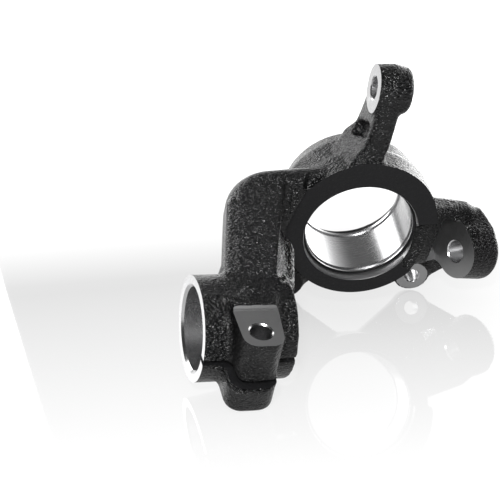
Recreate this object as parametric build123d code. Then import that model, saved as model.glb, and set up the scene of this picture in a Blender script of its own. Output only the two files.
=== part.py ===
from build123d import *
import os
from math import cos, radians, sin, tan

# Steering knuckle: one iron casting with machined bores, pads and holes.
# It is drawn in the casting's own axes, then turned to lie on its three feet.
#   X runs from the strut clamp down to the ball joint
#   Y runs outboard along the wheel axle, with the inboard face of the hub at Y = 0
#   Z runs across both, up to the tie rod boss

# --- hub barrel ---
hub_length = 58.0
hub_radius = 50.0
hub_end_radius = 45.5
hub_straight = 42.0
hub_edge_bevel = 2.0
hub_face_radius = 52.0
crown_rise = 6.5
crown_length = 26.0
crown_round = 10.0
bearing_radius = 36.0
bearing_depth = 45.5
mouth_radius = 38.5
mouth_depth = 7.5
snap_ring_radius = 38.0
snap_ring_width = 2.2
seat_lip = 1.0
flare_radius = 40.6
edge_break = 0.8

# --- strut clamp ---
strut_radius = 25.0
clamp_wall = 7.0
clamp_length = 57.0
clamp_above_hub = 63.3
clamp_inboard = 84.0
clamp_offset = -10.3
strut_lean = 7.3
bore_chamfer = 1.6
slot_width = 3.6
slot_rise = 1.4

# --- pinch ears and bolt ---
bolt_radius = 6.5
bolt_along = 28.8
bolt_clear = 6.1
ear_width = 23.5
ear_shift = -0.2
ear_front = 12.0
ear_round = 8.0
ear_flare_inner = 5.0
ear_flare_outer = 1.5
pad_height = 30.3
pad_step = 2.2
pad_wall_from_bolt = 21.0
pad_corner_round = 3.0
nut_ear_reach = 16.0
nut_ear_width = 29.5
nut_ear_shift = 1.7
nut_ear_corner = 10.0
nut_ear_depth = 20.0
nut_ear_bevel = 3.5

# --- neck from the clamp to the hub ---
neck_outer_at_clamp = -103.5
neck_outer_at_hub = -94.0
neck_inner_at_clamp = -60.0
neck_inner_at_hub = -46.0
neck_root = -22.0
neck_inboard = 4.0
neck_outboard = 19.0
neck_top_at_clamp = 21.0
neck_top_at_hub = 39.5
neck_thickness = 30.0
neck_gusset_depth = 36.0
neck_gusset_reach = 30.0
neck_bend_round = 30.0
neck_outer_round = 11.0
neck_tilt = 11.0
neck_tilt_from = -68.0
ridge_at_clamp = -73.0
ridge_at_hub = -60.0
ledge_at_clamp = 15.0
ledge_at_hub = 5.0
cove_round = 9.0
cove_size = 60.0
cove_end = -4.0
back_rib_reach = 112.0
back_rib_root = 95.0
back_rib_length = 51.0
back_rib_top = 8.0
back_rib_bottom = -25.0
shoulder_outer = -82.0
shoulder_outboard = 44.0
shoulder_top = 12.0
shoulder_bottom = -26.0
shoulder_round = 12.0

# --- tie rod arm ---
tie_rod_x = -12.0
tie_rod_y = 18.0
tie_rod_z = 102.0
tie_rod_length = 22.5
tie_rod_radius = 15.0
tie_rod_draft = 7.0
tie_rod_hole_radius = 7.0
tie_rod_taper = 2.9
tie_rod_bevel = 2.0
arm_thickness = 15.5
arm_depth = 30.0
arm_middle = -3.2
arm_waist_z = 78.0
arm_waist_depth = 34.0
arm_ankle_z = 66.0
arm_ankle_width = 16.5
arm_ankle_depth = 35.0
arm_ankle_middle = -4.0
arm_foot_z = 57.5
arm_foot_width = 20.0
arm_foot_depth = 39.0
arm_foot_middle = -8.0
arm_foot_inboard = 1.0
arm_root_z = 44.0
arm_root_width = 28.0
arm_root_depth = 38.0
arm_root_middle = -9.0
arm_round = 3.0
pocket_length = 25.0
pocket_height = 9.5
pocket_depth = 3.5
pocket_y = 20.5
pocket_z = 70.0
pocket_tilt = 27.0
pocket_round = 3.0

# --- ball joint arm ---
ball_x = 76.1
ball_y = 15.0
ball_z = -19.5
ball_turn = 22.8
ball_tip = 5.7
ball_radius = 19.0
ball_draft = 6.0
ball_length = 26.5
ball_hole_length = 26.0
ball_spot_radius = 11.5
ball_hole_radius = 7.4
ball_edge_bevel = 6.5
ball_face_side = 16.0
ball_crest = 21.5
ball_crest_inner = 2.0
ball_corner = 13.0
ball_arm_inboard = 12.0
ball_arm_outboard = 42.0
ball_arm_root_top = 10.5
ball_arm_root_bottom = -38.0
ball_arm_bend_top = 8.3
ball_arm_tip_top = 0.5
ball_arm_tip_bottom = -38.0
ball_arm_tip_inboard = 28.0
ball_arm_round = 6.0
ball_arm_reach = 21.5
recess_depth = 11.5
recess_top = 13.0
recess_length = 40.0
recess_from_axis = 33.0
recess_width = 26.0

# --- caliper ears ---
caliper_spacing = 92.0
caliper_x = 57.1
caliper_z = -55.7
caliper_slope = 9.3
caliper_face = 30.0
caliper_radius = 13.0
caliper_length = 16.0
caliper_tap_radius = 5.1
web_inset = 2.5
web_hub_radius = 34.0
ear_edge_bevel = 1.2

past = 2.0


def along_y(radius, start, end, x=0.0, z=0.0):
    """Cylinder whose axis is parallel to the wheel axle."""
    rod = Cylinder(radius, end - start, rotation=(90, 0, 0))
    return Pos(x, (start + end) / 2, z) * rod


def box_between(low, high):
    """Box given by two opposite corners."""
    size = [b - a for a, b in zip(low, high)]
    centre = [(a + b) / 2 for a, b in zip(low, high)]
    return Pos(*centre) * Box(*size)


# Frame of the strut bore: X towards the pinch ears, Y up across them, Z up the strut
lean = radians(strut_lean)
clamp_plane = Plane(
    origin=(-clamp_above_hub, -clamp_inboard, clamp_offset),
    x_dir=(sin(lean), -cos(lean), 0),
    z_dir=(-cos(lean), -sin(lean), 0),
)
clamp_radius = strut_radius + clamp_wall
bolt_offset = strut_radius + bolt_radius + bolt_clear

# Frame of the ball joint: Z leaves the machined face, X lies in the face
turn = radians(ball_turn)
tip = radians(ball_tip)
ball_plane = Plane(
    origin=(ball_x, ball_y, ball_z),
    x_dir=(-sin(turn), cos(turn), 0),
    z_dir=(-cos(turn) * cos(tip), -sin(turn) * cos(tip), sin(tip)),
)

seat_start = mouth_depth + snap_ring_width
seat_middle = (seat_start + bearing_depth) / 2

slope = radians(caliper_slope)
caliper_left_x = caliper_x - caliper_spacing * cos(slope)
caliper_left_z = caliper_z - caliper_spacing * sin(slope)
caliper_end = caliper_face + caliper_length


def hub_barrel():
    """Barrel round the wheel bearing, thicker at its crown on the inboard side."""
    profile = Polyline(
        (0, 0),
        (hub_radius, 0),
        (hub_radius, hub_straight),
        (hub_end_radius, hub_length - hub_edge_bevel),
        (hub_end_radius - hub_edge_bevel, hub_length),
        (0, hub_length),
        close=True,
    )
    barrel = revolve(make_face(profile), Axis.Y)
    crown = along_y(hub_radius, 0, crown_length, z=crown_rise)
    crown = fillet(crown.edges().group_by(Axis.Y)[-1], crown_round)
    return barrel + crown


def clamp_tube():
    """Tube that holds the strut."""
    tube = Cylinder(clamp_radius, clamp_length, align=(Align.CENTER, Align.CENTER, Align.MIN))
    return clamp_plane * tube


def bolt_ear():
    """Ear under the head of the pinch bolt, wider where it leaves the clamp."""
    front = bolt_offset + ear_front
    low = bolt_along + ear_shift - ear_width / 2
    high = low + ear_width
    outline = Polyline(
        (0, low - ear_flare_inner), (front, low), (front, high), (0, high + ear_flare_outer), close=True
    )
    ear = extrude(Plane.XZ * make_face(outline), -(pad_height + pad_step))
    corners = ear.edges().filter_by(Axis.Y).group_by(Axis.X)[-1]
    ear = fillet(corners, ear_round)
    return clamp_plane * ear


def nut_ear():
    """Thicker ear below the slot, which takes the thread of the pinch bolt."""
    half = nut_ear_width / 2
    ear = box_between(
        (0, -nut_ear_depth, bolt_along + nut_ear_shift - half),
        (bolt_offset + nut_ear_reach, slot_rise, bolt_along + nut_ear_shift + half),
    )
    ear = fillet(ear.edges().filter_by(Axis.Y).group_by(Axis.X)[-1], nut_ear_corner)
    front = bolt_offset / 2
    toe = ear.edges().group_by(Axis.Y)[0].filter_by(lambda edge: edge.center().X > front)
    return clamp_plane * chamfer(toe, nut_ear_bevel)


def neck_plan():
    """Plan outline of the neck, an elbow from the clamp round to the hub."""
    outline = Polyline(
        (neck_outer_at_clamp, -clamp_inboard),
        (neck_inner_at_clamp, -clamp_inboard),
        (neck_inner_at_hub, neck_inboard),
        (neck_root, neck_inboard),
        (neck_root, neck_outboard),
        (neck_outer_at_hub, neck_outboard),
        close=True,
    )
    face = make_face(outline)
    bend = face.vertices().sort_by(Axis.Y)[-2:].sort_by(Axis.X)[0]
    return fillet(bend, neck_bend_round)


def neck_top(y):
    """Height of the neck's upper face at a place along the wheel axle."""
    climb = (neck_top_at_hub - neck_top_at_clamp) / (neck_outboard + clamp_inboard)
    return neck_top_at_clamp + climb * (y + clamp_inboard)


def neck_side():
    """Side outline of the neck: it climbs to the hub and deepens into the clamp."""
    clamp_end = -clamp_inboard - past
    gusset_end = -clamp_inboard + neck_gusset_reach
    hub_end = neck_outboard + past
    outline = Polyline(
        (clamp_end, neck_top(clamp_end)),
        (clamp_end, clamp_offset - neck_gusset_depth / 2),
        (gusset_end, neck_top(gusset_end) - neck_thickness),
        (hub_end, neck_top(hub_end) - neck_thickness),
        (hub_end, neck_top(hub_end)),
        close=True,
    )
    return Plane.YZ * make_face(outline)


def cove_cut():
    """Cove beside the ridge, down to a ledge that runs from the clamp to the hub."""
    start = Vector(ridge_at_clamp, -clamp_inboard, ledge_at_clamp)
    end = Vector(ridge_at_hub, cove_end, ledge_at_hub)
    along = (end - start).normalized()
    run = (end - start).length
    frame = Plane(origin=start, x_dir=along.cross(Vector(0, 0, 1)), z_dir=along)
    block = Box(cove_size, cove_size, run, align=(Align.MIN, Align.MAX, Align.MIN))
    inner = block.edges().filter_by(Axis.Z).sort_by(Axis.X)[:2].sort_by(Axis.Y)[-1]
    return frame * fillet(inner, cove_round)


def neck():
    """Gooseneck from the clamp to the hub, its upper face tilted up towards the hub."""
    tall = 2 * neck_top_at_hub
    upright = extrude(Pos(0, 0, -tall) * neck_plan(), 2 * tall)
    wide = -2 * neck_outer_at_clamp
    strip = Pos(-wide - neck_tilt_from, 0, 0) * extrude(neck_side(), 2 * wide)
    strip = Pos(neck_tilt_from, 0, 0) * Rot(0, -neck_tilt, 0) * strip
    body = upright & strip
    outer_limit = neck_outer_at_hub + neck_bend_round / 2
    outer = body.edges().filter_by(lambda edge: edge.center().X < outer_limit)
    outer = outer.filter_by(lambda edge: edge.center().Y > -clamp_inboard + past)
    return fillet(outer - outer.filter_by(Axis.Z), neck_outer_round)


def back_rib():
    """Rib in the corner between the clamp and the outer side of the neck."""
    outline = Polyline(
        (-back_rib_reach, -clamp_inboard),
        (-back_rib_root, -clamp_inboard),
        (-back_rib_root, -clamp_inboard + back_rib_length),
        close=True,
    )
    height = back_rib_top - back_rib_bottom
    return extrude(Pos(0, 0, back_rib_bottom) * make_face(outline), height)


def shoulder():
    """Thick root of the neck on the outboard side of the hub."""
    block = box_between(
        (shoulder_outer, 0, shoulder_bottom), (neck_root, shoulder_outboard, shoulder_top)
    )
    outer = block.edges().group_by(Axis.X)[0]
    return fillet(outer, shoulder_round)


def arm_slice(middle, inboard, z, width, depth, corner):
    """Rounded rectangle across the tie rod arm."""
    return Pos(middle, inboard + depth / 2, z) * RectangleRounded(width, depth, corner)


def tie_rod_arm():
    """Arm that rises from the crown of the hub and spreads towards its root."""
    inboard = tie_rod_y - tie_rod_radius
    top = tie_rod_z - 2 * arm_round
    slices = [
        arm_slice(arm_root_middle, 0, arm_root_z, arm_root_width, arm_root_depth, arm_round),
        arm_slice(
            arm_foot_middle, arm_foot_inboard, arm_foot_z, arm_foot_width, arm_foot_depth, arm_round
        ),
        arm_slice(
            arm_ankle_middle, inboard, arm_ankle_z, arm_ankle_width, arm_ankle_depth, arm_round
        ),
        arm_slice(arm_middle, inboard, arm_waist_z, arm_thickness, arm_waist_depth, arm_round),
        arm_slice(arm_middle, inboard, top, arm_thickness, arm_depth, arm_round),
    ]
    root = extrude(slices[0], -arm_root_z / 2)
    return loft(slices, ruled=True) + root


def arm_pocket():
    """Slanted hollow in the side of the arm, below the tie rod's machined face."""
    side = arm_middle - arm_thickness / 2
    pocket = Box(4 * pocket_depth, pocket_length, pocket_height)
    pocket = fillet(pocket.edges().filter_by(Axis.X), pocket_round)
    return Pos(side - pocket_depth, pocket_y, pocket_z) * Rot(-pocket_tilt, 0, 0) * pocket


def tie_rod_boss():
    """Boss for the tie rod's taper, widest half way along for its draft."""
    half = tie_rod_length / 2
    belly = tie_rod_radius + half * tan(radians(tie_rod_draft))
    profile = Polyline(
        (0, 0),
        (0, tie_rod_radius),
        (half, belly),
        (tie_rod_length - tie_rod_bevel, tie_rod_radius),
        (tie_rod_length, tie_rod_radius - tie_rod_bevel),
        (tie_rod_length, 0),
        close=True,
    )
    boss = revolve(make_face(profile), Axis.X)
    return Pos(tie_rod_x, tie_rod_y, tie_rod_z) * boss


def ball_boss():
    """Boss for the ball joint, drafted from its machined face and squared off beside the arm."""
    back_radius = ball_radius + ball_length * tan(radians(ball_draft))
    profile = Polyline(
        (0, 0),
        (ball_radius, 0),
        (back_radius, -ball_length + ball_edge_bevel),
        (back_radius - ball_edge_bevel, -ball_length),
        (0, -ball_length),
        close=True,
    )
    boss = revolve(Plane.XZ * make_face(profile), Axis.Z)
    crest_end = -ball_length + ball_edge_bevel
    crest = box_between((-ball_crest_inner, -ball_crest, crest_end), (ball_face_side, 0, 0))
    corner = box_between((0, 0, -ball_length / 2), (ball_face_side, ball_corner, 0))
    beside = box_between(
        (ball_face_side, -2 * ball_radius, -ball_length / 2),
        (2 * ball_radius, 2 * ball_radius, past),
    )
    return ball_plane * (boss + crest + corner - beside)


def arm_section(x, inboard, outboard, bottom, top):
    """Rounded rectangle across the ball joint arm."""
    frame = Plane(
        origin=(x, (inboard + outboard) / 2, (bottom + top) / 2), x_dir=(0, 1, 0), z_dir=(1, 0, 0)
    )
    return frame * RectangleRounded(outboard - inboard, top - bottom, ball_arm_round)


def ball_arm():
    """Arm from the hub to the ball joint, outboard of its boss."""
    root_x = bearing_radius + past
    bend_x = ball_x + ball_arm_round
    tip_x = ball_x + ball_arm_reach
    root = arm_section(
        root_x, ball_arm_inboard, ball_arm_outboard, ball_arm_root_bottom, ball_arm_root_top
    )
    bend = arm_section(
        bend_x, ball_arm_tip_inboard, ball_arm_outboard, ball_arm_tip_bottom, ball_arm_bend_top
    )
    tip = arm_section(
        tip_x, ball_arm_tip_inboard, ball_arm_outboard, ball_arm_tip_bottom, ball_arm_tip_top
    )
    return loft([root, bend, tip], ruled=True)


def caliper_ear(x, z):
    """Ear for a caliper bolt, with its web to the hub."""
    ear = along_y(caliper_radius, caliper_face, caliper_end, x, z)
    ear = chamfer(ear.edges().group_by(Axis.Y)[-1], ear_edge_bevel)
    outline = Pos(x, z) * Circle(caliper_radius - web_inset / 2) + Circle(web_hub_radius)
    hull = make_face(make_hull(outline.edges()))
    start = caliper_face + web_inset
    web = extrude(Plane.XZ.offset(-start) * hull, -(caliper_length - web_inset))
    return ear + web


def ball_web():
    """Web that ties the lower caliper ear to the ball joint boss."""
    outline = Pos(caliper_x, caliper_z) * Circle(caliper_radius - web_inset)
    outline += Pos(ball_x + 8, ball_z - 4) * Circle(ball_radius - web_inset)
    hull = make_face(make_hull(outline.edges()))
    return extrude(Plane.XZ.offset(-caliper_face - web_inset) * hull, -(caliper_length - web_inset))


def casting():
    """The casting before machining."""
    body = hub_barrel() + shoulder() + (neck() - cove_cut()) + clamp_tube()
    body += back_rib()
    body += tie_rod_arm() - arm_pocket()
    body += tie_rod_boss()
    body += ball_arm()
    body += ball_boss()
    body += caliper_ear(caliper_x, caliper_z)
    body += caliper_ear(caliper_left_x, caliper_left_z)
    body += ball_web()
    body += bolt_ear()
    body += nut_ear()
    return body


def hub_bore():
    """Bore through the hub: mouth, snap ring groove, bearing seat, lip and flare."""
    profile = Polyline(
        (0, -past),
        (mouth_radius + edge_break + past, -past),
        (mouth_radius, edge_break),
        (mouth_radius, mouth_depth - 1),
        (bearing_radius + 0.6, mouth_depth - 1),
        (bearing_radius + 0.6, mouth_depth),
        (snap_ring_radius, mouth_depth),
        (snap_ring_radius, seat_start),
        (bearing_radius, seat_start),
        (bearing_radius, bearing_depth),
        (bearing_radius - seat_lip, bearing_depth),
        (bearing_radius - seat_lip, bearing_depth + 2 * seat_lip),
        (flare_radius, bearing_depth + 3 * seat_lip),
        (flare_radius, hub_length + past),
        (0, hub_length + past),
        close=True,
    )
    return revolve(make_face(profile), Axis.Y)


def strut_bore():
    """Clamp bore with a chamfer at its open end, and the slot that lets it close."""
    bore = Pos(0, 0, -past) * Cylinder(
        strut_radius, clamp_length + 2 * past, align=(Align.CENTER, Align.CENTER, Align.MIN)
    )
    mouth = Pos(0, 0, clamp_length - bore_chamfer) * Cone(
        strut_radius, strut_radius + 2 * bore_chamfer, 2 * bore_chamfer,
        align=(Align.CENTER, Align.CENTER, Align.MIN),
    )
    slot = box_between(
        (0, slot_rise - slot_width / 2, -past),
        (bolt_offset + 2 * nut_ear_reach, slot_rise + slot_width / 2, clamp_length + past),
    )
    return clamp_plane * (bore + mouth + slot)


def pinch_cuts():
    """Bolt hole, and the milled pad under the bolt head."""
    drill = Pos(bolt_offset, 0, bolt_along) * Cylinder(
        bolt_radius, 4 * pad_height, rotation=(90, 0, 0)
    )
    low = bolt_along + ear_shift - ear_width
    mill = box_between(
        (bolt_offset - pad_wall_from_bolt, pad_height, low),
        (bolt_offset + 2 * ear_front, pad_height + 10 * pad_step, low + 2 * ear_width),
    )
    inner = mill.edges().filter_by(Axis.Z).group_by(Axis.X)[0].sort_by(Axis.Y)[0]
    return clamp_plane * (drill + fillet(inner, pad_corner_round))


def tie_rod_hole():
    """Tapered hole, larger at the machined face."""
    small = tie_rod_hole_radius - tie_rod_length * tan(radians(tie_rod_taper))
    hole = Cone(tie_rod_hole_radius, small, tie_rod_length, rotation=(0, 90, 0))
    return Pos(tie_rod_x + tie_rod_length / 2, tie_rod_y, tie_rod_z) * hole


def recess_cut():
    """Cast hollow in the hub face where the ball joint arm leaves it."""
    side = Polyline(
        (recess_depth, recess_top),
        (0, recess_top - recess_length),
        (-past, recess_top - recess_length),
        (-past, recess_top),
        close=True,
    )
    return Pos(recess_from_axis, 0, 0) * extrude(Plane.YZ * make_face(side), recess_width)


def ball_joint_cuts():
    """Hole for the ball joint's stud and the spot face for its nut."""
    downward = (Align.CENTER, Align.CENTER, Align.MAX)
    hole = Cylinder(ball_hole_radius, 2 * ball_length, align=downward)
    nut_space = Cylinder(ball_spot_radius, 2 * ball_length, align=downward)
    return ball_plane * (hole + Pos(0, 0, -ball_hole_length) * nut_space)


def machining():
    """Every cut made after casting."""
    cuts = hub_bore() + strut_bore() + pinch_cuts()
    cuts += along_y(hub_face_radius, -clamp_inboard - past, 0)
    cuts += tie_rod_hole()
    cuts += ball_joint_cuts()
    for x, z in ((caliper_x, caliper_z), (caliper_left_x, caliper_left_z)):
        cuts += along_y(caliper_tap_radius, caliper_face - past, caliper_end + past, x, z)
    return cuts


def stand_plane():
    """Floor under the two caliper ears and the toe of the nut ear."""
    drop = caliper_radius * cos(slope)
    shift = caliper_radius * sin(slope)
    right = Vector(caliper_x + shift, caliper_face, caliper_z - drop)
    left = Vector(caliper_left_x + shift, caliper_face, caliper_left_z - drop)
    toe = clamp_plane.from_local_coords(
        Vector(
            bolt_offset + nut_ear_reach - nut_ear_bevel,
            -nut_ear_depth,
            bolt_along - nut_ear_bevel,
        )
    )
    upward = (left - toe).cross(right - toe).normalized()
    if upward.Z < 0:
        upward = upward * -1
    level = Vector(1, 0, 0) - upward * upward.X
    return Plane(origin=(0, seat_middle, 0), x_dir=level, z_dir=upward)


if __name__ == "__main__":
    os.makedirs("parts", exist_ok=True)
    knuckle = casting() - recess_cut() - machining()
    knuckle = stand_plane().location.inverse() * knuckle
    export_step(knuckle, "parts/knuckle.step")
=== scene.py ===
"""Steering knuckle: the iron casting with its machined faces, on a studio floor."""

from math import cos, pi, radians, sin, tan

import bmesh
import bpy
from mathutils import Matrix, Vector


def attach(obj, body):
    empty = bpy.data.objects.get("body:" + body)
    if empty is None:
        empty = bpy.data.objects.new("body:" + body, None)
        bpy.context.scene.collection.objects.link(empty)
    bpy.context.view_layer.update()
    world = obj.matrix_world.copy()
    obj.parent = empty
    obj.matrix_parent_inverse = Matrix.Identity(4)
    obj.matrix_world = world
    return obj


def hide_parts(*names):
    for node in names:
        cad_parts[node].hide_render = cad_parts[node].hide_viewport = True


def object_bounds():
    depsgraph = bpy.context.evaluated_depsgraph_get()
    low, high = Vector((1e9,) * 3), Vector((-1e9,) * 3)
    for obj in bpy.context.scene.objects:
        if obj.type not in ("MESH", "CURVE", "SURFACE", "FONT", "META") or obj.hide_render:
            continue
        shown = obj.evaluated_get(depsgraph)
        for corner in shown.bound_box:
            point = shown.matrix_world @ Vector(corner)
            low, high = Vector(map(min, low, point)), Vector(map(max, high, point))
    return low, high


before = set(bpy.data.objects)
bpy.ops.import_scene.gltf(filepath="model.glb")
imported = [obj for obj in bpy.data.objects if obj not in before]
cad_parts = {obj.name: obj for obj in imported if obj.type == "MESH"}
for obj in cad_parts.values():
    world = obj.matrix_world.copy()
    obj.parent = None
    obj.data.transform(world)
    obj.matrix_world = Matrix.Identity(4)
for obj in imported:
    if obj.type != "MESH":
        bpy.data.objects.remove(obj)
cad_low, cad_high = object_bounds()

CAST, COATED, BARE, MILLED = 0, 1, 2, 3

# ------------------------------------------------------------------ places
# Tools are drawn in millimetres in the casting's own axes: X from the strut clamp
# to the ball joint, Y outboard along the axle, Z up to the tie rod boss.
axle_middle = 27.6
casting_axes = Matrix((
    (0.988393, 0.052416, 0.142587),
    (0.0, 0.938591, -0.345031),
    (-0.151916, 0.341026, 0.927698),
))
to_row = (
    Matrix.Scale(0.001, 4)
    @ casting_axes.to_4x4()
    @ Matrix.Translation((0, -axle_middle, 0))
)


def axes_at(origin, x_dir, z_dir):
    """Local axes of a machined feature, in the casting's axes."""
    x = Vector(x_dir).normalized()
    z = Vector(z_dir).normalized()
    turned_axes = Matrix((x, z.cross(x), z)).transposed().to_4x4()
    turned_axes.translation = Vector(origin)
    return turned_axes


lean = radians(7.3)
clamp_axes = axes_at((-63.3, -84.0, -10.3), (sin(lean), -cos(lean), 0), (-cos(lean), -sin(lean), 0))
turn, tip = radians(22.8), radians(5.7)
ball_axes = axes_at(
    (76.1, 15.0, -19.5),
    (-sin(turn), cos(turn), 0),
    (-cos(turn) * cos(tip), -sin(turn) * cos(tip), sin(tip)),
)
axle_axes = axes_at((0, 0, 0), (1, 0, 0), (0, 1, 0))
tie_rod_axes = axes_at((-12.0, 18.0, 102.0), (0, 1, 0), (1, 0, 0))
slope = radians(9.3)
caliper_spacing = 92
caliper_x, caliper_z = 57.1, -55.7
caliper_right = (caliper_x, caliper_z)
caliper_left = (
    caliper_x - caliper_spacing * cos(slope),
    caliper_z - caliper_spacing * sin(slope),
)


def ear_axes(x, z):
    """Axis of a caliper bolt, outboard along local Z."""
    return axes_at((x, 0, z), (1, 0, 0), (0, 1, 0))


# Edge of the ball joint's face where it runs into the arm, in the face's local X and Y.
ball_hub_side = [
    (7.8, -20.4), (16, -20.8), (23.7, -20.1), (26.2, -13.5), (27, -6.6), (25.8, 0.5), (23.1, 6.2),
    (19.9, 11.5), (16.3, 16.1),
]
# Upper outer edge of the neck at three places along the axle. Local Y runs down here.
neck_sections = [
    [(-103.3, -3), (-103.3, -11.3), (-102.5, -13.2), (-100.8, -14.4), (-91, -16.4), (-91, -3)],
    [(-96.6, -17), (-96.6, -25.7), (-95.8, -27.6), (-94.1, -28.8), (-84.5, -30.7), (-84.5, -17)],
    [(-87, -24), (-87, -28), (-86, -30), (-84.5, -31.5), (-80, -33.5), (-80, -24)],
]
neck_edge = [
    (-84.0, -11.0, neck_sections[0], neck_sections[1]),
    (-11.0, 8.0, neck_sections[1], neck_sections[2]),
]
# Joint line of the mould over the clamp, in the casting's axes.
parting_line = [
    (-116.4, -97.8, 20.9), (-111.1, -97.3, 20.9), (-105.3, -97.7, 20.9), (-99.8, -99.1, 22.0),
    (-96.1, -97.5, 22.2), (-93.2, -92.7, 22.2), (-90.5, -89.8, 22.2), (-84.9, -88.3, 22.1),
    (-77.1, -84.3, 21.7), (-70.8, -82.6, 21.6), (-61.2, -69.7, 13.1),
]

# Bores and faces, each length measured from the face that the hole starts in.
hub_face_radius = 52.0
crown_height, crown_face_radius = 6.5, 51
mouth_radius, mouth_step_radius, mouth_step = 38.5, 36.6, 6.5
groove_radius, groove_start, groove_end = 38, 7.5, 9.7
seat_radius, seat_end = 36, 45.5
lip_radius, lip_end = 35, 47.5
flare_radius, flare_start, past_hub = 40.6, 48.5, 62
strut_radius = 25
clamp_end = 57.0
bolt_offset = 37.6
bolt_along = 28.8
bolt_radius, bolt_depth = 6.5, 20.0
pad_height = 30.3
tie_rod_radius, tie_rod_depth, tie_rod_half_angle = 7.0, 22.5, 2.9
ball_hole_radius, ball_hole_length, nut_face_radius = 7.4, 26.0, 11.5
caliper_tap_radius, spot_face_radius = 5.1, 13.3
caliper_face, caliper_end = 30.0, 46.0
hole_chamfer = 0.8
bolt_axes = axes_at(clamp_axes @ Vector((bolt_offset, 0, bolt_along)), (1, 0, 0), (0, 0, 1))
pad_axes = axes_at(clamp_axes @ Vector((bolt_offset, pad_height, bolt_along)), (1, 0, 0), (0, 0, 1))


# ------------------------------------------------------------------ tools
def place(bm, local, finish=0):
    """Moves new geometry from its local axes into the row frame."""
    bm.transform(to_row @ local)
    for face in bm.faces:
        face.material_index = finish
    return bm


def turned(profile, local, finishes=BARE, sides=96):
    """Closed turned shape. The profile is (radius, distance along local Z)."""
    bm = bmesh.new()
    verts = [bm.verts.new((radius, 0, along)) for radius, along in profile]
    edges = [bm.edges.new(pair) for pair in zip(verts, verts[1:])]
    bmesh.ops.spin(
        bm, geom=verts + edges, axis=(0, 0, 1), cent=(0, 0, 0), angle=2 * pi, steps=sides, use_merge=True
    )
    bmesh.ops.remove_doubles(bm, verts=bm.verts, dist=0.001)
    bmesh.ops.recalc_face_normals(bm, faces=bm.faces)
    if isinstance(finishes, int):
        finishes = [finishes] * (len(profile) - 1)
    middles = [
        Vector(((a[0] + b[0]) / 2, (a[1] + b[1]) / 2)) for a, b in zip(profile, profile[1:])
    ]
    marks = []
    for face in bm.faces:
        centre = face.calc_center_median()
        spot = Vector((Vector((centre.x, centre.y)).length, centre.z))
        nearest = min(range(len(middles)), key=lambda i: (middles[i] - spot).length)
        marks.append(finishes[nearest])
    bm.transform(to_row @ local)
    for face, mark in zip(bm.faces, marks):
        face.material_index = mark
    return bm


def block(low, high, local, finish=BARE, rounded=None, radius=3.0):
    """Box between two corners. rounded picks the edges that a cutter leaves round."""
    bm = bmesh.new()
    bmesh.ops.create_cube(bm, size=1)
    size = Vector(high) - Vector(low)
    bmesh.ops.scale(bm, vec=size, verts=bm.verts)
    bmesh.ops.translate(bm, vec=(Vector(high) + Vector(low)) / 2, verts=bm.verts)
    if rounded:
        chosen = [e for e in bm.edges if rounded((e.verts[0].co + e.verts[1].co) / 2)]
        bmesh.ops.bevel(
            bm, geom=chosen, offset=radius, offset_type="OFFSET", segments=8,
            profile=0.5, affect="EDGES", material=-1,
        )
    return place(bm, local, finish)


def prism(outline, low, high, local, finish=CAST, top=None):
    """Straight or tapering shape over an outline in local X and Y."""
    bm = bmesh.new()
    base = [bm.verts.new((x, y, low)) for x, y in outline]
    cap = [bm.verts.new((x, y, high)) for x, y in (top or outline)]
    bm.faces.new(base)
    bm.faces.new(cap)
    for i in range(len(base)):
        bm.faces.new((base[i - 1], base[i], cap[i], cap[i - 1]))
    bmesh.ops.recalc_face_normals(bm, faces=bm.faces)
    return place(bm, local, finish)


def bead(points, radius, local):
    """Thin raised line through points, as left by a joint of the mould."""
    bm = bmesh.new()
    for start, end in zip(points, points[1:]):
        run = Vector(end) - Vector(start)
        turn = run.to_track_quat("Z", "Y").to_matrix().to_4x4()
        middle = Matrix.Translation((Vector(start) + Vector(end)) / 2)
        bmesh.ops.create_cone(
            bm, cap_ends=True, segments=10, radius1=radius, radius2=radius,
            depth=run.length + radius, matrix=middle @ turn,
        )
    return place(bm, local, CAST)


def gather(parts, name):
    """One object out of several tools that don't overlap."""
    mesh = bpy.data.meshes.new(name)
    whole = bmesh.new()
    for part in parts:
        step = bpy.data.meshes.new("step")
        part.to_mesh(step)
        part.free()
        whole.from_mesh(step)
        bpy.data.meshes.remove(step)
    whole.to_mesh(mesh)
    whole.free()
    obj = bpy.data.objects.new(name, mesh)
    bpy.context.scene.collection.objects.link(obj)
    for material in finishes:
        mesh.materials.append(material)
    return obj


def applied(obj):
    """Puts an object's modifiers into its mesh."""
    depsgraph = bpy.context.evaluated_depsgraph_get()
    depsgraph.update()
    mesh = bpy.data.meshes.new_from_object(obj.evaluated_get(depsgraph))
    old = obj.data
    obj.modifiers.clear()
    obj.data = mesh
    bpy.data.meshes.remove(old)
    return obj


# ------------------------------------------------------------------ finishes
def node(tree, kind, **values):
    """Adds a node and sets its plain values."""
    made = tree.nodes.new(kind)
    for key, value in values.items():
        setattr(made, key, value)
    return made


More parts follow.
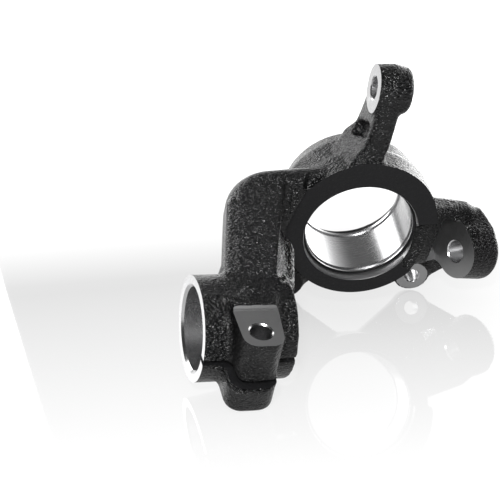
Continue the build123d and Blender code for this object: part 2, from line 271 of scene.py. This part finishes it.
def grain_group():
    """Sand cast grain: height and a mask of its high spots."""
    group = bpy.data.node_groups.new("cast_grain", "ShaderNodeTree")
    face = group.interface
    face.new_socket("Vector", in_out="INPUT", socket_type="NodeSocketVector")
    face.new_socket("Size", in_out="INPUT", socket_type="NodeSocketFloat")
    face.new_socket("Height", in_out="OUTPUT", socket_type="NodeSocketFloat")
    face.new_socket("Mask", in_out="OUTPUT", socket_type="NodeSocketFloat")
    inside = group.nodes.new("NodeGroupInput")
    outside = group.nodes.new("NodeGroupOutput")
    link = group.links.new

    def noise(multiple, detail, rough):
        scale = node(group, "ShaderNodeMath", operation="MULTIPLY")
        link(inside.outputs["Size"], scale.inputs[0])
        scale.inputs[1].default_value = multiple
        made = node(group, "ShaderNodeTexNoise", noise_dimensions="3D")
        made.inputs["Detail"].default_value = detail
        made.inputs["Roughness"].default_value = rough
        link(inside.outputs["Vector"], made.inputs["Vector"])
        link(scale.outputs[0], made.inputs["Scale"])
        return made.outputs["Fac"]

    fine = noise(1.0, 1.0, 0.5)
    coarse = noise(0.28, 2.0, 0.5)
    sand = node(group, "ShaderNodeTexVoronoi", feature="SMOOTH_F1")
    sand_scale = node(group, "ShaderNodeMath", operation="MULTIPLY")
    link(inside.outputs["Size"], sand_scale.inputs[0])
    sand_scale.inputs[1].default_value = 0.9
    link(inside.outputs["Vector"], sand.inputs["Vector"])
    link(sand_scale.outputs[0], sand.inputs["Scale"])
    sand.inputs["Smoothness"].default_value = 0.35

    def weighted(a, weight_a, b, weight_b):
        first = node(group, "ShaderNodeMath", operation="MULTIPLY")
        link(a, first.inputs[0])
        first.inputs[1].default_value = weight_a
        second = node(group, "ShaderNodeMath", operation="MULTIPLY_ADD")
        link(b, second.inputs[0])
        second.inputs[1].default_value = weight_b
        link(first.outputs[0], second.inputs[2])
        return second.outputs[0]

    mixed = weighted(fine, 1.0, coarse, 0.4)
    total = weighted(mixed, 1.0, sand.outputs["Distance"], -0.2)
    link(total, outside.inputs["Height"])
    high_spots = node(group, "ShaderNodeMapRange")
    high_spots.inputs["From Min"].default_value = 0.56
    high_spots.inputs["From Max"].default_value = 0.7
    link(fine, high_spots.inputs["Value"])
    link(high_spots.outputs[0], outside.inputs["Mask"])
    return group


def turning_group():
    """Tool marks left by a boring bar or a facing cutter round the local Z axis."""
    group = bpy.data.node_groups.new("turning_marks", "ShaderNodeTree")
    face = group.interface
    face.new_socket("Vector", in_out="INPUT", socket_type="NodeSocketVector")
    face.new_socket("Pitch", in_out="INPUT", socket_type="NodeSocketFloat")
    face.new_socket("Height", in_out="OUTPUT", socket_type="NodeSocketFloat")
    face.new_socket("Shade", in_out="OUTPUT", socket_type="NodeSocketFloat")
    inside = group.nodes.new("NodeGroupInput")
    outside = group.nodes.new("NodeGroupOutput")
    link = group.links.new
    split = node(group, "ShaderNodeSeparateXYZ")
    link(inside.outputs["Vector"], split.inputs[0])
    flat = node(group, "ShaderNodeCombineXYZ")
    link(split.outputs["X"], flat.inputs["X"])
    link(split.outputs["Y"], flat.inputs["Y"])
    length = node(group, "ShaderNodeVectorMath", operation="LENGTH")
    link(flat.outputs[0], length.inputs[0])
    ring = node(group, "ShaderNodeCombineXYZ")
    link(length.outputs["Value"], ring.inputs["X"])
    link(split.outputs["Z"], ring.inputs["Y"])
    marks = node(group, "ShaderNodeTexNoise", noise_dimensions="2D")
    marks.inputs["Detail"].default_value = 2.0
    marks.inputs["Roughness"].default_value = 0.7
    link(ring.outputs[0], marks.inputs["Vector"])
    link(inside.outputs["Pitch"], marks.inputs["Scale"])
    link(marks.outputs["Fac"], outside.inputs["Height"])
    broad = node(group, "ShaderNodeTexNoise", noise_dimensions="3D")
    broad.inputs["Scale"].default_value = 45.0
    broad.inputs["Detail"].default_value = 3.0
    link(inside.outputs["Vector"], broad.inputs["Vector"])
    mixed = node(group, "ShaderNodeMath", operation="MULTIPLY_ADD")
    link(marks.outputs["Fac"], mixed.inputs[0])
    mixed.inputs[1].default_value = 0.5
    half = node(group, "ShaderNodeMath", operation="MULTIPLY")
    link(broad.outputs["Fac"], half.inputs[0])
    half.inputs[1].default_value = 0.5
    link(half.outputs[0], mixed.inputs[2])
    link(mixed.outputs[0], outside.inputs["Shade"])
    return group


def new_material(name):
    """Material with its Principled shader and object coordinates ready."""
    made = bpy.data.materials.new(name)
    made.use_nodes = True
    tree = made.node_tree
    shader = tree.nodes["Principled BSDF"]
    place_node = tree.nodes.new("ShaderNodeTexCoord")
    return made, tree, shader, place_node


def bump(tree, height, shader, distance):
    """Feeds a height into the shader's normal."""
    made = tree.nodes.new("ShaderNodeBump")
    made.inputs["Strength"].default_value = 1.0
    made.inputs["Distance"].default_value = distance
    tree.links.new(height, made.inputs["Height"])
    tree.links.new(made.outputs["Normal"], shader.inputs["Normal"])


def ramp(tree, value, low, high, from_low=0.0, from_high=1.0):
    """Spreads a value over a range."""
    made = tree.nodes.new("ShaderNodeMapRange")
    made.inputs["From Min"].default_value = from_low
    made.inputs["From Max"].default_value = from_high
    made.inputs["To Min"].default_value = low
    made.inputs["To Max"].default_value = high
    tree.links.new(value, made.inputs["Value"])
    return made.outputs[0]


def colour_mix(tree, factor, first, second):
    """Colour between two by a mask."""
    made = tree.nodes.new("ShaderNodeMix")
    made.data_type = "RGBA"
    made.inputs["A"].default_value = (*first, 1)
    made.inputs["B"].default_value = (*second, 1)
    tree.links.new(factor, made.inputs["Factor"])
    return made.outputs["Result"]


grain = grain_group()
turning = turning_group()


def cast_skin():
    """Black dip coat over the grain of the sand mould."""
    made, tree, shader, spot = new_material("cast_skin")
    stretch = tree.nodes.new("ShaderNodeMapping")
    stretch.inputs["Scale"].default_value = (0.6, 1.0, 1.0)
    tree.links.new(spot.outputs["Object"], stretch.inputs["Vector"])
    sand = tree.nodes.new("ShaderNodeGroup")
    sand.node_tree = grain
    sand.inputs["Size"].default_value = 860.0
    tree.links.new(stretch.outputs[0], sand.inputs["Vector"])
    # Lighter specks on the grain's high spots: partly coat worn to grey iron on the peaks, partly painted
    # glints of the grain.
    colour = colour_mix(tree, sand.outputs["Mask"], (0.0015, 0.0015, 0.0016), (0.016, 0.016, 0.0165))
    tree.links.new(colour, shader.inputs["Base Color"])
    tree.links.new(ramp(tree, sand.outputs["Mask"], 0.26, 0.14), shader.inputs["Roughness"])
    shader.inputs["Specular IOR Level"].default_value = 0.27
    bump(tree, sand.outputs["Height"], shader, 0.0014)
    return made


def coated_face():
    """Milled face under the same coat."""
    made, tree, shader, spot = new_material("coated_face")
    sand = tree.nodes.new("ShaderNodeGroup")
    sand.node_tree = grain
    sand.inputs["Size"].default_value = 1200.0
    tree.links.new(spot.outputs["Object"], sand.inputs["Vector"])
    colour = colour_mix(tree, sand.outputs["Mask"], (0.005, 0.005, 0.0055), (0.009, 0.009, 0.0095))
    tree.links.new(colour, shader.inputs["Base Color"])
    tree.links.new(ramp(tree, sand.outputs["Mask"], 0.5, 0.38), shader.inputs["Roughness"])
    shader.inputs["Specular IOR Level"].default_value = 0.16
    bump(tree, sand.outputs["Height"], shader, 0.00025)
    return made


def turned_iron(name, dark, bright, smooth, rough, pitch, depth):
    """Machined iron with the marks of its tool."""
    made, tree, shader, spot = new_material(name)
    turn_axis = tree.nodes.new("ShaderNodeMapping")
    turn_axis.inputs["Rotation"].default_value = (pi / 2, 0, 0)
    tree.links.new(spot.outputs["Object"], turn_axis.inputs["Vector"])
    marks = tree.nodes.new("ShaderNodeGroup")
    marks.node_tree = turning
    marks.inputs["Pitch"].default_value = pitch
    tree.links.new(turn_axis.outputs[0], marks.inputs["Vector"])
    colour = colour_mix(tree, marks.outputs["Shade"], dark, bright)
    tree.links.new(colour, shader.inputs["Base Color"])
    tree.links.new(ramp(tree, marks.outputs["Shade"], smooth, rough), shader.inputs["Roughness"])
    shader.inputs["Metallic"].default_value = 1.0
    bump(tree, marks.outputs["Height"], shader, depth)
    return made


def bare_iron():
    """Bored and faced iron, bare and bright."""
    return turned_iron("bare_iron", (0.4, 0.4, 0.41), (0.62, 0.62, 0.62), 0.2, 0.32, 1400.0, 0.000012)


def milled_iron():
    """Spot faced iron, darker and rougher than the bored iron."""
    return turned_iron("milled_iron", (0.26, 0.26, 0.265), (0.36, 0.36, 0.36), 0.34, 0.44, 1000.0, 0.00001)


finishes = [cast_skin(), coated_face(), bare_iron(), milled_iron()]


# ------------------------------------------------------------------ casting
allowance = 2.5
skin_step = 0.0011


def grow_faces(bm, local, along, reach):
    """Raises the flat faces that lie in a machining plane by the foundry's allowance."""
    plane = to_row @ local
    centre = plane @ Vector((0, 0, along))
    normal = (plane.to_3x3() @ Vector((0, 0, 1))).normalized()
    chosen = []
    for face in bm.faces:
        spot = face.calc_center_median() - centre
        if abs(spot.dot(normal)) > 0.00006 or abs(face.normal.dot(normal)) < 0.999:
            continue
        if spot.length < reach * 0.001:
            chosen.append(face)
    if not chosen:
        raise RuntimeError("no face lies in the machining plane")
    outward = sum((face.normal for face in chosen), Vector()).normalized()
    raised = bmesh.ops.extrude_face_region(bm, geom=chosen)
    verts = [item for item in raised["geom"] if isinstance(item, bmesh.types.BMVert)]
    bmesh.ops.translate(bm, vec=outward * allowance * 0.001, verts=verts)


def plug(radius, low, high, local):
    """Solid core for a hole that is drilled later."""
    return turned([(0, low), (radius, low), (radius, high), (0, high)], local, CAST, 48)


def rough_casting():
    """The casting as it leaves the mould: no holes, with allowance on machined faces."""
    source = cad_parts["knuckle"]
    bm = bmesh.new()
    bm.from_mesh(source.data)
    bmesh.ops.remove_doubles(bm, verts=bm.verts, dist=0.000002)
    grow_faces(bm, axle_axes, 0, 70)
    grow_faces(bm, clamp_axes, clamp_end, 45)
    grow_faces(bm, tie_rod_axes, 0, 30)
    grow_faces(bm, ball_axes, 0, 30)
    grow_faces(bm, pad_axes, 0, 30)
    parts = [bm]
    parts.append(plug(seat_radius + 2, -allowance, 57.0, axle_axes))
    parts.append(plug(strut_radius + 2, 1.0, clamp_end + allowance, clamp_axes))
    parts.append(plug(bolt_radius + 1, -19.0, pad_height + allowance, bolt_axes))
    parts.append(plug(tie_rod_radius + 1, -allowance, 21.5, tie_rod_axes))
    parts.append(plug(ball_hole_radius + 1, -24.0, allowance, ball_axes))
    shoulder = [(-12, -14.5), (-4, -19), *ball_hub_side, (4, 18.5), (0, 5)]
    parts.append(prism(shoulder, -16.0, allowance, ball_axes))
    flare = [(15, -27), (9, -26.2), (2, -24.6), (-4, -22.8), (-9.5, -19.8), (-8, -10), (10, -10)]
    rim = [(11, -19.5), (7, -20.2), (2, -21.2), (-3, -21.1), (-7, -20), (-6, -10), (8, -10)]
    parts.append(prism(flare, -22.0, -5.0, ball_axes, CAST, rim))
    for low, high, near, far in neck_edge:
        parts.append(prism(near, low, high, axle_axes, CAST, far))
    parts.append(bead(parting_line, 1.5, Matrix.Translation((0, -0.5, 0.6))))
    parts.append(block((40, 16.6, 21.8), (50.1, 28.5, 36.2), clamp_axes, CAST))
    parts.append(block((40, 5.0, 22.6), (49.6, 16.8, 35.6), clamp_axes, CAST))
    for nick in (22.6, 35.4):
        parts.append(block((47.6, 15.0, nick - 1.1), (50.5, 17.8, nick + 1.1), clamp_axes, CAST))
    for spot in (caliper_right, caliper_left):
        parts.append(plug(caliper_tap_radius + 1.4, caliper_face, caliper_end, ear_axes(*spot)))
    slot_low, slot_high = -1.4, 4.2
    parts.append(block((20, slot_low, 0.5), (31.2, slot_high, clamp_end + allowance), clamp_axes, CAST))
    parts.append(block((25, slot_low, 16), (48.5, slot_high, 39), clamp_axes, CAST))
    return gather(parts, "rough_casting")


def soften(obj, name, kind, **values):
    """Adds one modifier."""
    made = obj.modifiers.new(name, kind)
    for key, value in values.items():
        setattr(made, key, value)
    return made


def remesh(obj, step):
    soften(obj, "skin", "REMESH", mode="VOXEL", voxel_size=step, adaptivity=0.0, use_smooth_shade=True)
    return applied(obj)


fillet_reach = 0.0016
casting = rough_casting()
remesh(casting, skin_step)
soften(casting, "settle", "SMOOTH", factor=0.5, iterations=1)
applied(casting)
soften(casting, "swell", "DISPLACE", strength=fillet_reach, mid_level=0.0, direction="NORMAL")
applied(casting)
remesh(casting, skin_step)
soften(casting, "shrink", "DISPLACE", strength=-fillet_reach, mid_level=0.0, direction="NORMAL")
applied(casting)
remesh(casting, skin_step)
soften(casting, "smooth", "SMOOTH", factor=0.5, iterations=2)
applied(casting)


# ------------------------------------------------------------------ machining
def hole_tool(radius, low, high, local, low_open=True):
    """Drill with a chamfer at the end it enters, and at the far end where that is open."""
    over = 4.0
    widest = radius + hole_chamfer + over
    profile = [(0, low - over)]
    if low_open:
        profile += [(widest, low - over), (radius, low + hole_chamfer)]
    else:
        profile += [(radius, low - over)]
    profile += [(radius, high - hole_chamfer), (widest, high + over), (0, high + over)]
    return turned(profile, local, BARE, 64)


def facings():
    """Face mills and spot facers."""
    parts = [
        turned(
            [(0, -84), (hub_face_radius, -84), (hub_face_radius, 0), (0, 0)], axle_axes, COATED, 160
        ),
        turned([(0, clamp_end), (37, clamp_end), (37, 70), (0, 70)], clamp_axes, BARE),
        turned([(0, -12), (22, -12), (22, 0), (0, 0)], tie_rod_axes, BARE, 64),
        prism(
            [*ball_hub_side, (12, 24), (0, 26), (-18, 18), (-26, 0), (-20, -16), (-8, -25), (7, -27)],
            0, 12, ball_axes, MILLED,
        ),
        # The left ear's spot face takes the dark coated finish as painted shade: both ears are machined
        # alike, and the left one lies in shade between the neck and the ring.
        *(
            turned(
                [(0, 18), (spot_face_radius, 18), (spot_face_radius, 30.2), (0, 30.2)],
                ear_axes(*spot), finish, 64,
            )
            for spot, finish in ((caliper_right, MILLED), (caliper_left, COATED))
        ),
        block(
            (bolt_offset - 21, pad_height, bolt_along - 30),
            (bolt_offset + 30, pad_height + 20, bolt_along + 30),
            clamp_axes, MILLED,
            rounded=lambda m: m.x < bolt_offset - 20.9 and m.y < pad_height + 0.1, radius=4.0,
        ),
    ]
    return gather(parts, "facings")


def crown_facing():
    """Same face mill moved up over the crown of the hub."""
    crown_axes = axes_at((0, 0, crown_height), (1, 0, 0), (0, 1, 0))
    mill = [(0, -5), (crown_face_radius, -5), (crown_face_radius, 0), (0, 0)]
    return gather([turned(mill, crown_axes, COATED, 160)], "crown")


def hub_bore():
    """Boring bar's path through the hub: mouth, snap ring groove, bearing seat, lip and flare."""
    path = [
        (0, -4), (41.5, -4), (mouth_radius, hole_chamfer), (mouth_radius, mouth_step),
        (mouth_step_radius, mouth_step), (mouth_step_radius, groove_start),
        (groove_radius, groove_start), (groove_radius, groove_end),
        (seat_radius, groove_end), (seat_radius, seat_end), (lip_radius, seat_end), (lip_radius, lip_end),
        (flare_radius, flare_start), (flare_radius, past_hub), (0, past_hub),
    ]
    return turned(path, axle_axes, [MILLED] * 3 + [COATED] + [BARE] * 7 + [COATED] * 3, 160)


def bores():
    """Boring bars and drills."""
    strut = turned(
        [(0, -6), (strut_radius, -6), (strut_radius, 55.4), (31.6, 62), (0, 62)],
        clamp_axes, BARE, 128,
    )
    bolt = hole_tool(bolt_radius, -bolt_depth, pad_height, bolt_axes, low_open=False)
    small = tie_rod_radius - tie_rod_depth * tan(radians(tie_rod_half_angle))
    taper = turned(
        [(0, -4), (12, -4), (7.2, 0.7), (small, tie_rod_depth), (small, 27), (0, 27)],
        tie_rod_axes, BARE, 64,
    )
    ball = hole_tool(ball_hole_radius, -ball_hole_length, 0.0, ball_axes, low_open=False)
    taps = [
        hole_tool(caliper_tap_radius, caliper_face, caliper_end, ear_axes(*spot))
        for spot in (caliper_right, caliper_left)
    ]
    return gather([hub_bore(), strut, bolt, taper, ball, *taps], "bores")


def nut_space():
    """Spot facer for the nut behind the ball joint's boss."""
    high = -ball_hole_length
    path = [(0, -52), (nut_face_radius, -52), (nut_face_radius, high), (0, high)]
    return gather([turned(path, ball_axes, BARE, 64)], "nut_space")


def slot_cut():
    """Slitting saw through one wall of the clamp."""
    saw = block((0, -0.4, -6), (75, 3.2, 62), clamp_axes, COATED)
    return gather([saw], "slot_cut")


for tool in (facings(), crown_facing(), bores(), nut_space(), slot_cut()):
    for material in finishes:
        if material.name not in casting.data.materials:
            casting.data.materials.append(material)
    soften(casting, "cut", "BOOLEAN", operation="DIFFERENCE", solver="MANIFOLD", object=tool)
    applied(casting)
    bpy.data.objects.remove(tool)

casting.name = "knuckle_skin"
casting.data.name = "knuckle_skin"
casting.data.shade_smooth()
casting.data.set_sharp_from_angle(angle=radians(38))
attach(casting, "root")
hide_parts("knuckle")

# ------------------------------------------------------------------ studio
floor_bm = bmesh.new()
bmesh.ops.create_grid(floor_bm, x_segments=1, y_segments=1, size=3.0)
bmesh.ops.translate(floor_bm, vec=(0, 0, cad_low.z), verts=floor_bm.verts)
floor_mesh = bpy.data.meshes.new("studio_floor")
floor_bm.to_mesh(floor_mesh)
floor_bm.free()
floor = bpy.data.objects.new("studio_floor", floor_mesh)
bpy.context.scene.collection.objects.link(floor)
made, tree, shader, spot = new_material("studio_floor")
shader.inputs["Base Color"].default_value = (0.05, 0.05, 0.05, 1)
shader.inputs["Roughness"].default_value = 0.03
shader.inputs["Specular IOR Level"].default_value = 0.5
across = tree.nodes.new("ShaderNodeSeparateXYZ")
tree.links.new(spot.outputs["Object"], across.inputs[0])
# Painted light: the floor glows by its emission, dimmest under the hub and at full glow towards the camera
# and the wall.
dimmest = 0.55
near_light = ramp(tree, across.outputs["Y"], dimmest, 1.0, 0.08, -0.26)
far_light = ramp(tree, across.outputs["Y"], dimmest, 1.0, 0.1, 0.32)
floor_light = node(tree, "ShaderNodeMath", operation="MAXIMUM")
tree.links.new(near_light, floor_light.inputs[0])
tree.links.new(far_light, floor_light.inputs[1])
tree.links.new(floor_light.outputs[0], shader.inputs["Emission Color"])
shader.inputs["Emission Strength"].default_value = 1.0
floor_mesh.materials.append(made)

world = bpy.data.worlds.new("studio")
bpy.context.scene.world = world
world.use_nodes = True
sky = world.node_tree
background = sky.nodes["Background"]
direction = sky.nodes.new("ShaderNodeTexCoord")
split = sky.nodes.new("ShaderNodeSeparateXYZ")
sky.links.new(direction.outputs["Generated"], split.inputs[0])


def sky_range(value, from_low, from_high, low, high):
    """Smooth step in the world's light."""
    made = sky.nodes.new("ShaderNodeMapRange")
    made.interpolation_type = "SMOOTHSTEP"
    made.inputs["From Min"].default_value = from_low
    made.inputs["From Max"].default_value = from_high
    made.inputs["To Min"].default_value = low
    made.inputs["To Max"].default_value = high
    sky.links.new(value, made.inputs["Value"])
    return made.outputs[0]


def sky_maths(operation, first, second):
    """Arithmetic on two lights of the world."""
    made = sky.nodes.new("ShaderNodeMath")
    made.operation = operation
    for socket, value in zip(made.inputs, (first, second)):
        if isinstance(value, float):
            socket.default_value = value
        else:
            sky.links.new(value, socket)
    return made.outputs[0]


back_wall = sky_range(split.outputs["Y"], -0.1, 0.55, 0.0, 2.6)
below_ceiling = sky_maths("POWER", sky_range(split.outputs["Z"], -0.1, 0.85, 1.0, 0.3), 2.5)
beside_curtain = sky_range(split.outputs["X"], -0.34, -0.1, 0.05, 1.0)
right_window = sky_range(split.outputs["X"], 0.22, 0.5, 1.0, 3.0)
across_wall = sky_maths("MULTIPLY", beside_curtain, right_window)
wall = sky_maths("MULTIPLY", sky_maths("MULTIPLY", back_wall, below_ceiling), across_wall)
room = sky_maths("ADD", wall, 0.04)
seen = sky.nodes.new("ShaderNodeLightPath")
backdrop = sky_maths("MULTIPLY", seen.outputs["Is Camera Ray"], 1.2)
sky.links.new(sky_maths("MAXIMUM", room, backdrop), background.inputs["Strength"])
background.inputs["Color"].default_value = (1, 1, 1, 1)
bpy.context.scene.view_settings.view_transform = "Standard"


def softbox(name, where, towards, size, power):
    """Rectangular area light aimed at a point."""
    data = bpy.data.lights.new(name, "AREA")
    data.shape = "RECTANGLE"
    data.size, data.size_y = size
    data.energy = power
    obj = bpy.data.objects.new(name, data)
    obj.location = where
    obj.rotation_euler = (Vector(towards) - Vector(where)).to_track_quat("-Z", "Y").to_euler()
    bpy.context.scene.collection.objects.link(obj)


softbox("overhead", (0.0, -0.2, 1.5), (0, 0, 0), (0.5, 0.25), 2.5)
softbox("beside_camera", (-0.3, -1.0, 0.62), (-0.08, -0.1, 0.05), (0.1, 0.1), 18)
softbox("back_left", (-0.7, 1.1, 0.6), (0, 0, 0.05), (1.0, 0.7), 13)

camera_data = bpy.data.cameras.new("camera")
camera_data.sensor_fit = "HORIZONTAL"
camera_data.sensor_width = 36.0
camera_data.lens = 86.486
camera_data.shift_x = -0.0026
camera_data.shift_y = -0.0171
camera_data.clip_start = 0.01
camera = bpy.data.objects.new("camera", camera_data)
camera.matrix_world = Matrix((
    (0.985738, 0.078246, -0.148991, -0.193393),
    (-0.165907, 0.303455, -0.938291, -0.767401),
    (-0.028205, 0.949628, 0.312109, 0.238811),
    (0, 0, 0, 1),
))
bpy.context.scene.collection.objects.link(camera)
bpy.context.scene.camera = camera
